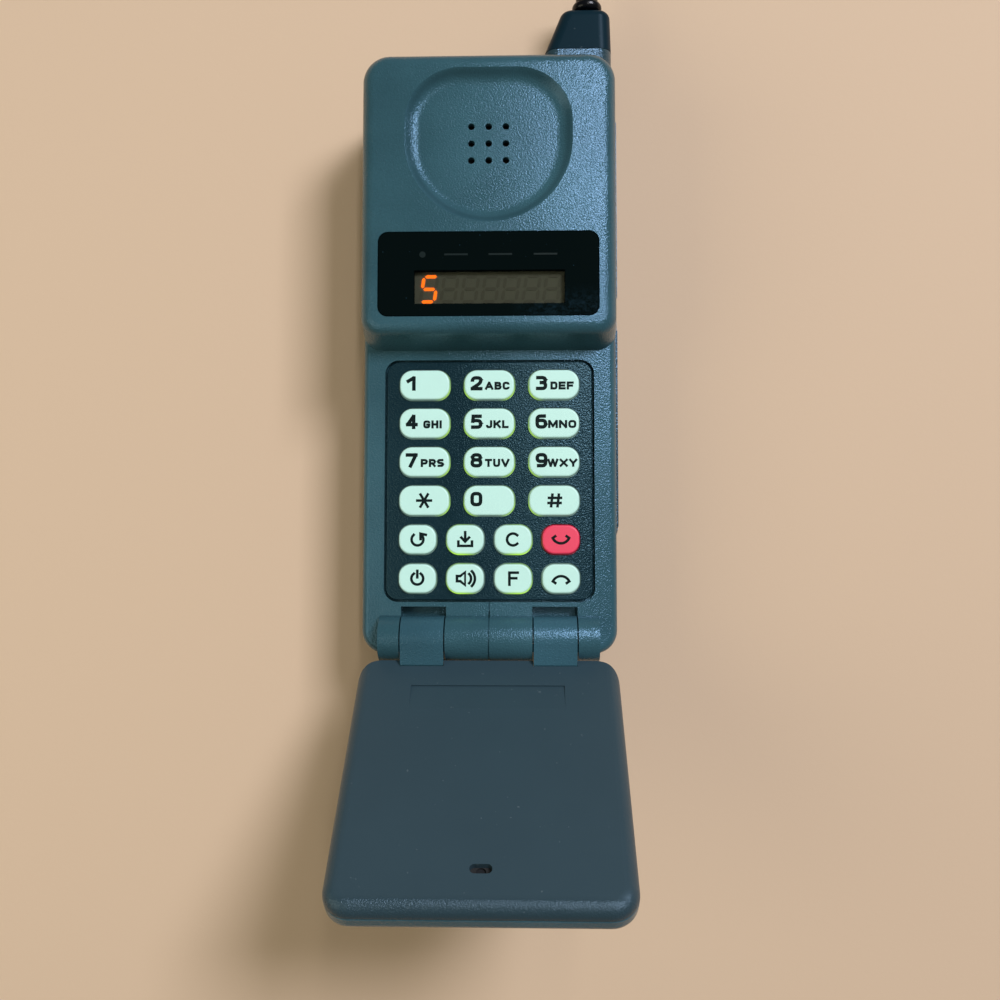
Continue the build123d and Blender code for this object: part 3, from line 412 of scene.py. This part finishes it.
print("painting the frame's parts")
steel = metal("steel", srgb(190, 190, 188), 0.3)
gold = metal("gold", srgb(222, 184, 104), 0.22)
brass = metal("brass", srgb(200, 168, 96), 0.3)
darkPlastic = plainPlastic("darkPlastic", srgb(26, 28, 31), 0.45)
chipResin = plainPlastic("chipResin", srgb(28, 28, 30), 0.5)
looks = [
    (grainedPlastic("housing", {}), ["front_housing"]),
    (grainedPlastic("rearHousing", {"colour": srgb(50, 72, 80), "shade": srgb(43, 63, 70)}),
     ["rear_housing"]),
    (grainedPlastic("bezel", {"colour": srgb(21, 46, 56), "shade": srgb(17, 39, 48),
                             "glint": (0.3, 0.55, 0.65)}),
     ["keypad_bezel"]),
    (grainedPlastic("flipShell", {"colour": srgb(59, 98, 112), "shade": srgb(50, 85, 98)}),
     ["flip_outer_shell"]),
    (satinPlastic("flipCover", {}), ["flip_inner_cover"]),
    (grainedPlastic("batteryPlastic", {"colour": srgb(42, 62, 70), "shade": srgb(36, 54, 61)}),
     ["battery_case", "battery_lid"]),
    (smokedWindow(), ["display_window"]),
    (satinPlastic("boot", {"colour": srgb(18, 40, 50), "shade": srgb(15, 35, 44), "roughness": 0.34,
                           "rimGrain": 0, "shine": 0.08}),
     ["antenna_boot"]),
    (plainPlastic("knob", srgb(9, 11, 17), 0.2, 0.25), ["antenna_knob"]),
    (metal("chrome", srgb(222, 222, 222), 0.08), ["antenna_mast"]),
    (glowing("silicone", srgb(196, 214, 120), srgb(150, 180, 60), 0.2), ["keypad_mat"]),
    (lightGuide(), ["light_guide"]),
    (plainPlastic("ledModule", srgb(206, 203, 184), 0.5), ["led_display"]),
    (solderMask(), ["logic_board", "radio_board", "display_board", "battery_board"]),
    (darkPlastic, ["earpiece", "ringer", "board_connectors", "accessory_connector", "contact_block",
                   "microphone"]),
    (chipResin, ["processor_chips", "hook_switch"]),
    (plainPlastic("latchPlastic", srgb(30, 40, 46), 0.5), ["battery_latch"]),
    (foamRubber(), ["earpiece_gasket", "microphone_boot"]),
    (steel, ["shield_cans", "housing_screws", "hinge_pins", "hinge_spring", "flip_magnet",
             "battery_cells"]),
    (gold, ["phone_contacts", "battery_contacts"]),
    (brass, ["antenna_tube", "antenna_clip"]),
    (plainPlastic("film", srgb(176, 116, 44), 0.3), ["microphone_flex"]),
    (litKey("redKey", keyLook["red"], keyLook["redRimShade"], keyLook["redLight"]), ["key_send"]),
    (litKey("paleKey", keyLook["pale"], keyLook["paleRimShade"], keyLook["paleLight"]),
     [name for name in nodes if name.startswith("key_") and name != "key_send"]),
]
for material, names in looks:
    for name in names:
        nodes[name].data.materials.clear()
        nodes[name].data.materials.append(material)


def addPiece(name, mesh, material, body):
    piece = bpy.data.objects.new(name, mesh)
    bpy.context.scene.collection.objects.link(piece)
    mesh.materials.append(material)
    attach(piece, body)


def meshFrom(rings, low, high):
    # flat outlines of (x, y) points made into closed slabs, each a hair higher than the last
    hair = 0.0004 * mm
    whole = bmesh.new()
    for count, ring in enumerate(rings):
        floor = [whole.verts.new((x, y, low)) for x, y in ring]
        roof = [whole.verts.new((x, y, high + count * hair)) for x, y in ring]
        whole.faces.new(roof)
        whole.faces.new(floor[::-1])
        for index in range(len(ring)):
            whole.faces.new((floor[index - 1], floor[index], roof[index], roof[index - 1]))
    bmesh.ops.recalc_face_normals(whole, faces=whole.faces)
    mesh = bpy.data.meshes.new("slabs")
    whole.to_mesh(mesh)
    whole.free()
    return mesh


def arc(radius, start, end, x=0.0, y=0.0, steps=16):
    turns = [math.radians(start + (end - start) * step / steps) for step in range(steps + 1)]
    return [(x + radius * math.cos(turn), y + radius * math.sin(turn)) for turn in turns]


def bend(points, radius, steps=6):
    # the same line with its corners rounded: two corners share the line between them, and a tail
    # is nearly used up by its one corner
    shared, tail = 0.5, 0.96
    spots = [Vector(point) for point in points]
    result = [spots[0]]
    for index in range(1, len(spots) - 1):
        corner = spots[index]
        back, ahead = spots[index - 1] - corner, spots[index + 1] - corner
        backShare = tail if index == 1 else shared
        aheadShare = tail if index == len(spots) - 2 else shared
        start = corner + back.normalized() * min(radius, back.length * backShare)
        end = corner + ahead.normalized() * min(radius, ahead.length * aheadShare)
        for step in range(steps + 1):
            share = step / steps
            result.append(start.lerp(corner, share).lerp(corner.lerp(end, share), share))
    return result + [spots[-1]]


def stroke(points, width, ends=0.5):
    # the outline round a line of even width, its ends drawn out by a share of the width; a line that
    # ends where it starts is left closed
    touching, sharpest = 0.01, 0.6
    spots = [Vector(point) for point in points]
    ways = [(after - before).normalized() for before, after in zip(spots, spots[1:])]
    closed = (spots[0] - spots[-1]).length < touching
    if not closed:
        spots[0] = spots[0] - ways[0] * width * ends
        spots[-1] = spots[-1] + ways[-1] * width * ends
    befores = [ways[-1] if closed else ways[0]] + ways
    afters = ways + [ways[0] if closed else ways[-1]]
    left, right = [], []
    for spot, before, after in zip(spots, befores, afters):
        turn = (before + after).normalized()
        side = Vector((-turn.y, turn.x)) * width / 2 / max(turn.dot(after), sharpest)
        left.append(spot + side)
        right.append(spot - side)
    return left + right[::-1]


# Numbers and letters on the keys. Points run from 0 to 1 over the middle lines of a letter.
straightLines = {
    "1": [[(0.05, 0.72), (0.62, 0.98)], [(0.72, 1), (0.72, 0)]],
    "2": [[(0, 0), (1, 0)]],
    "4": [[(0.72, 0), (0.72, 1)], [(0.66, 0.98), (0.04, 0.3)], [(0, 0.25), (1, 0.25)]],
    "5": [[(0.92, 1), (0.12, 1)], [(0.12, 0.98), (0.06, 0.55)]],
    "7": [[(0, 1), (1, 1)], [(0.98, 0.98), (0.38, 0)]],
    "A": [[(0, 0), (0.46, 1)], [(0.54, 1), (1, 0)], [(0.22, 0.3), (0.78, 0.3)]],
    "B": [[(0, 0), (0, 1)]],
    "D": [[(0, 0), (0, 1)]],
    "E": [[(0, 0), (0, 1)], [(0, 1), (1, 1)], [(0, 0.5), (0.9, 0.5)], [(0, 0), (1, 0)]],
    "F": [[(0, 0), (0, 1)], [(0, 1), (1, 1)], [(0, 0.48), (0.85, 0.48)]],
    "G": [[(0.6, 0.46), (1, 0.46)]],
    "H": [[(0, 0), (0, 1)], [(1, 0), (1, 1)], [(0, 0.5), (1, 0.5)]],
    "I": [[(0, 0), (0, 1)]],
    "K": [[(0, 0), (0, 1)], [(0.95, 1), (0.1, 0.42)], [(0.4, 0.62), (1, 0)]],
    "L": [[(0, 1), (0, 0)], [(0, 0), (1, 0)]],
    "M": [[(0, 0), (0, 1)], [(0.06, 1), (0.5, 0.15)], [(0.5, 0.15), (0.94, 1)], [(1, 1), (1, 0)]],
    "N": [[(0, 0), (0, 1)], [(0.06, 1), (0.94, 0)], [(1, 0), (1, 1)]],
    "P": [[(0, 0), (0, 1)]],
    "R": [[(0, 0), (0, 1)], [(0.5, 0.42), (0.98, 0)]],
    "T": [[(0, 1), (1, 1)], [(0.5, 1), (0.5, 0)]],
    "V": [[(0, 1), (0.46, 0)], [(0.54, 0), (1, 1)]],
    "W": [[(0, 1), (0.23, 0)], [(0.27, 0), (0.48, 1)], [(0.52, 1), (0.73, 0)], [(0.77, 0), (1, 1)]],
    "X": [[(0.02, 0), (0.98, 1)], [(0.02, 1), (0.98, 0)]],
    "Y": [[(0, 1), (0.5, 0.42)], [(1, 1), (0.5, 0.42)], [(0.5, 0.42), (0.5, 0)]],
}
bentLines = {
    "0": [[(0.5, 0), (1, 0), (1, 1), (0, 1), (0, 0), (0.5, 0)]],
    "2": [[(0, 0.64), (0, 1), (1, 1), (1, 0.55), (0.04, 0.06)]],
    "3": [[(-0.12, 1), (0.97, 1), (0.97, 0.54), (0.3, 0.54)], [(0.3, 0.54), (1, 0.54), (1, 0), (-0.15, 0)]],
    "5": [[(0.06, 0.6), (1, 0.6), (1, 0), (-0.15, 0)]],
    "6": [[(1.05, 1), (0, 1), (0, 0), (0.5, 0)], [(0.5, 0), (1, 0), (1, 0.6), (0, 0.6)]],
    "8": [[(0.5, 0.54), (0.95, 0.54), (0.95, 1), (0.05, 1), (0.05, 0.54), (0.5, 0.54)],
          [(0.5, 0), (1, 0), (1, 0.54), (0, 0.54), (0, 0), (0.5, 0)]],
    "9": [[(-0.05, 0), (1, 0), (1, 1), (0.5, 1)], [(0.5, 1), (0, 1), (0, 0.4), (1, 0.4)]],
    "B": [[(0, 1), (0.92, 1), (0.92, 0.53), (0, 0.53)], [(0, 0.53), (1, 0.53), (1, 0), (0, 0)]],
    "C": [[(1, 0.69), (1, 1), (0, 1), (0, 0), (1, 0), (1, 0.31)]],
    "D": [[(0, 1), (1, 1), (1, 0), (0, 0)]],
    "G": [[(1, 0.71), (1, 1), (0, 1), (0, 0), (1, 0), (1, 0.46)]],
    "J": [[(1, 1.2), (1, 0), (0, 0), (0, 0.38)]],
    "O": [[(0.5, 0), (1, 0), (1, 1), (0, 1), (0, 0), (0.5, 0)]],
    "P": [[(0, 1), (1, 1), (1, 0.42), (0, 0.42)]],
    "R": [[(0, 1), (1, 1), (1, 0.42), (0, 0.42)]],
    "S": [[(1.12, 1), (0, 1), (0, 0.5), (1, 0.5), (1, 0), (-0.12, 0)]],
    "U": [[(0, 1.2), (0, 0), (1, 0), (1, 1.2)]],
}
letterWidths = {"A": 1.45, "I": 0.0, "J": 0.95, "K": 1.25, "L": 1.0, "M": 1.75, "N": 1.4, "O": 1.35,
                "V": 1.4, "W": 2.05, "X": 1.45, "Y": 1.4}
# widths, heights and places are millimetres from the key's middle; roundness is a share of the letter
keyPrint = {
    "ink": srgb(7, 26, 26),
    "thickness": 0.03 * mm,
    "line": 0.62,
    "digit": {"x": -3.0, "wide": 1.98, "tall": 2.58, "line": 0.84},
    "letter": {"x": 1.9, "wide": 1.12, "tall": 1.36, "line": 0.54, "space": 0.80},
    "low": -0.96,
    "roundness": 0.42,
    "roughness": 0.5,
    "shine": 0.1,
}
digitLetters = {"1": "", "2": "ABC", "3": "DEF", "4": "GHI", "5": "JKL", "6": "MNO", "7": "PRS", "8": "TUV",
                "9": "WXY", "0": ""}
# signs drawn in millimetres about the key's middle
signs = {
    "recall": [arc(1.4, 130, 400), [(1.95, 1.1), (0.7, 1.36), (0.72, 0.1)]],
    "store": [[(0, 1.7), (0, -0.3)], [(-0.9, 0.45), (0, -0.5), (0.9, 0.45)],
              [(-1.6, -0.5), (-1.6, -1.5), (1.6, -1.5), (1.6, -0.5)]],
    "clear": [arc(1.4, 45, 315)],
    "send": [arc(2.1, 205, 335, y=1.2), [(-1.9, 0.35), (-1.35, 0.75)], [(1.9, 0.35), (1.35, 0.75)]],
    "power": [arc(1.4, 125, 415), [(0, 0.3), (0, 1.8)]],
    "volume": [[(-1.9, -0.6), (-1.1, -0.6), (0, -1.5), (0, 1.5), (-1.1, 0.6), (-1.9, 0.6), (-1.9, -0.6)],
               arc(1.5, -45, 45, x=-0.1), arc(2.4, -45, 45, x=-0.1)],
    "function": [[(-0.85, -1.4), (-0.85, 1.4)], [(-0.85, 1.4), (1.1, 1.4)], [(-0.85, 0.1), (0.75, 0.1)]],
    "end": [arc(2.1, 25, 155, y=-1.5), [(-1.9, -0.6), (-1.35, -1.0)], [(1.9, -0.6), (1.35, -1.0)]],
    "star": [[(-1.6, 0), (1.6, 0)], [(-0.84, -1.42), (0.84, 1.42)], [(-0.84, 1.42), (0.84, -1.42)]],
    "hash": [[(-0.75, -1.35), (-0.45, 1.35)], [(0.75, -1.35), (1.05, 1.35)],
             [(-1.25, 0.6), (1.55, 0.6)], [(-1.35, -0.6), (1.45, -0.6)]],
}


def glyph(letter, x, wide, tall, line):
    # the strokes of one letter whose left middle line stands at x
    rings = []
    radius = min(wide, tall) * keyPrint["roundness"]
    for table in (straightLines, bentLines):
        for points in table.get(letter, []):
            placed = [(x + px * wide, keyPrint["low"] + py * tall) for px, py in points]
            if table is bentLines:
                rings.append(stroke(bend(placed, radius), line, 0))
            else:
                rings.append(stroke(placed, line))
    return rings


def word(text, look):
    # letters in a row about the look's x
    widths = [letterWidths.get(letter, look["wide"]) for letter in text]
    x = look["x"] - (sum(widths) + look["space"] * (len(text) - 1)) / 2
    rings = []
    for letter, wide in zip(text, widths):
        rings += glyph(letter, x, wide, look["tall"], look["line"])
        x += wide + look["space"]
    return rings


def keyLegend(name, ink):
    if name in signs:
        rings = [stroke(points, keyPrint["line"]) for points in signs[name]]
    else:
        digit = keyPrint["digit"]
        rings = glyph(name, digit["x"] - digit["wide"] / 2, digit["wide"], digit["tall"], digit["line"])
        rings += word(digitLetters[name], keyPrint["letter"])
    low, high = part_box("key_" + name)
    x, y = (low.x + high.x) / 2, (low.y + high.y) / 2
    placed = [[(x + px * mm, y + py * mm) for px, py in ring] for ring in rings]
    mesh = meshFrom(placed, high.z - keyPrint["thickness"], high.z + keyPrint["thickness"])
    addPiece("legend_" + name, mesh, ink, "key_" + name)


print("printing the key legends")
ink = plainPlastic("ink", keyPrint["ink"], keyPrint["roughness"], keyPrint["shine"])
for name in list(digitLetters) + list(signs):
    keyLegend(name, ink)


# Seven-bar digits under the window, the first one lit, and faint lamp marks above them. Outlines are
# drawn in millimetres.
digitLook = {
    "count": 7,
    "height": 5.9,
    "width": 3.2,
    "line": 0.74,
    "gap": 0.24,
    "slant": 0.14,
    "pitch": 4.75,
    "firstX": -13.75,
    "middleY": 3.35,
    "litBars": "afgcd",
    "thickness": 0.1 * mm,
    "light": (1.0, 0.16, 0.01),
    "strength": 4.5,
}
lampMarks = {
    "y": 11.1,
    "dot": (-15.2, 0.72),
    "dashes": [-7.45, 2.8, 13.2],
    "dashLength": 5.0,
    "line": 0.42,
    "colour": srgb(24, 36, 36),
    "roughness": 0.3,
    "shine": 0.1,
    "thickness": 0.02 * mm,
}


def bar(place, which):
    # one bar of a digit, pointed at both ends
    half, tall = digitLook["width"] / 2, digitLook["height"] / 4
    line, gap = digitLook["line"] / 2, digitLook["gap"]
    reach = half - gap
    flat = [(-reach, 0), (line - reach, line), (reach - line, line), (reach, 0), (reach - line, -line),
            (line - reach, -line)]
    reach = tall - gap
    upright = [(0, -reach), (line, line - reach), (line, reach - line), (0, reach), (-line, reach - line),
               (-line, line - reach)]
    shifts = {"a": (flat, 0, 2 * tall), "g": (flat, 0, 0), "d": (flat, 0, -2 * tall),
              "f": (upright, -half, tall), "b": (upright, half, tall),
              "e": (upright, -half, -tall), "c": (upright, half, -tall)}
    points, dx, dy = shifts[which]
    x = digitLook["firstX"] + place * digitLook["pitch"]
    return [((x + px + dx + (py + dy) * digitLook["slant"]) * mm, (digitLook["middleY"] + py + dy) * mm)
            for px, py in points]


print("lighting the display")
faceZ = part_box("led_display")[1].z
lit = [bar(0, which) for which in digitLook["litBars"]]
dark = [bar(place, which) for place in range(digitLook["count"]) for which in "abcdefg"
        if place or which not in digitLook["litBars"]]
bars = [("lit_segments", lit, glowing("litSegment", srgb(255, 120, 40), digitLook["light"],
                                      digitLook["strength"])),
        ("dark_segments", dark, plainPlastic("darkSegment", srgb(190, 185, 168), 0.4))]
for name, rings, material in bars:
    mesh = meshFrom(rings, faceZ - digitLook["thickness"], faceZ + digitLook["thickness"])
    addPiece(name, mesh, material, "phone")

dotX, dotRadius = lampMarks["dot"]
marks = [arc(dotRadius, 0, 345, x=dotX, y=lampMarks["y"], steps=23)]  # the last side closes by itself
for x in lampMarks["dashes"]:
    half = lampMarks["dashLength"] / 2
    marks.append(stroke([(x - half, lampMarks["y"]), (x + half, lampMarks["y"])], lampMarks["line"]))
marks = [[(x * mm, y * mm) for x, y in ring] for ring in marks]
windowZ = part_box("display_window")[1].z
markMesh = meshFrom(marks, windowZ - lampMarks["thickness"], windowZ + lampMarks["thickness"])
markPaint = plainPlastic("lampMark", lampMarks["colour"], lampMarks["roughness"], lampMarks["shine"])
addPiece("lamp_marks", markMesh, markPaint, "phone")


print("setting the stage")
stageLook = {
    "floor": srgb(214, 187, 158),
    "grain": 1.2 * mm,
    "grainDepth": 0.02 * mm,
    "reach": 1.5,
    "drop": 0.05 * mm,
    "room": (1.0, 0.97, 0.78),
    "roomStrength": 0.13,
}
# a large lamp at the upper right, a weak warm one at the lower left and a narrow strip overhead, all
# turned towards the origin
lamps = {
    "key": {"place": (0.93, 0.85, 1.55), "wide": 0.62, "long": 0.62, "power": 35.5,
            "colour": (0.86, 0.88, 0.99)},
    "fill": {"place": (-0.50, -0.12, 0.42), "wide": 0.4, "long": 0.4, "power": 1.05,
             "colour": (1.0, 0.95, 0.74)},
    "strip": {"place": (0.165, 0.22, 1.0), "wide": 0.05, "long": 0.75, "power": 1.6,
              "colour": (1.0, 0.98, 0.93)},
}


def stageFloor():
    reach, drop = stageLook["reach"], stageLook["drop"]
    mesh = bpy.data.meshes.new("floor")
    mesh.from_pydata([(-reach, -reach, -drop), (reach, -reach, -drop), (reach, reach, -drop),
                      (-reach, reach, -drop)], [], [(0, 1, 2, 3)])
    floor = bpy.data.objects.new("floor", mesh)
    bpy.context.scene.collection.objects.link(floor)
    paint = Paint("floorPaint")
    fine = paint.noise(stageLook["grain"], 3.0)
    mesh.materials.append(paint.surface(Base_Color=stageLook["floor"], Roughness=0.75 + fine * 0.1,
                                        Normal=paint.bump(fine, stageLook["grainDepth"])))


def areaLamp(name, look):
    light = bpy.data.lights.new(name, "AREA")
    light.shape = "RECTANGLE"
    light.size = look["wide"]
    light.size_y = look["long"]
    light.energy = look["power"]
    light.color = look["colour"]
    lamp = bpy.data.objects.new(name, light)
    back = Vector(look["place"]).normalized()
    across = Vector((0, 1, 0)).cross(back).normalized()
    lamp.rotation_euler = Matrix((across, back.cross(across), back)).transposed().to_euler()
    lamp.location = look["place"]
    bpy.context.scene.collection.objects.link(lamp)


stageFloor()
for name, look in lamps.items():
    areaLamp(name, look)

world = bpy.data.worlds.new("room")
world.use_nodes = True
background = world.node_tree.nodes["Background"]
background.inputs["Color"].default_value = (*stageLook["room"], 1.0)
background.inputs["Strength"].default_value = stageLook["roomStrength"]
bpy.context.scene.world = world

cameraLook = {
    "place": (8.49, -59.2, 259.08),
    "turn": (3.41, 1.45, 0.03),
    "lens": 36.0,
    "sensor": 36.0,
    "nearest": 10 * mm,
}
lens = bpy.data.cameras.new("camera")
lens.lens = cameraLook["lens"]
lens.sensor_width = cameraLook["sensor"]
lens.clip_start = cameraLook["nearest"]
camera = bpy.data.objects.new("camera", lens)
camera.location = [part * mm for part in cameraLook["place"]]
camera.rotation_euler = [math.radians(part) for part in cameraLook["turn"]]
bpy.context.scene.collection.objects.link(camera)
bpy.context.scene.camera = camera
bpy.context.scene.view_settings.view_transform = "Standard"
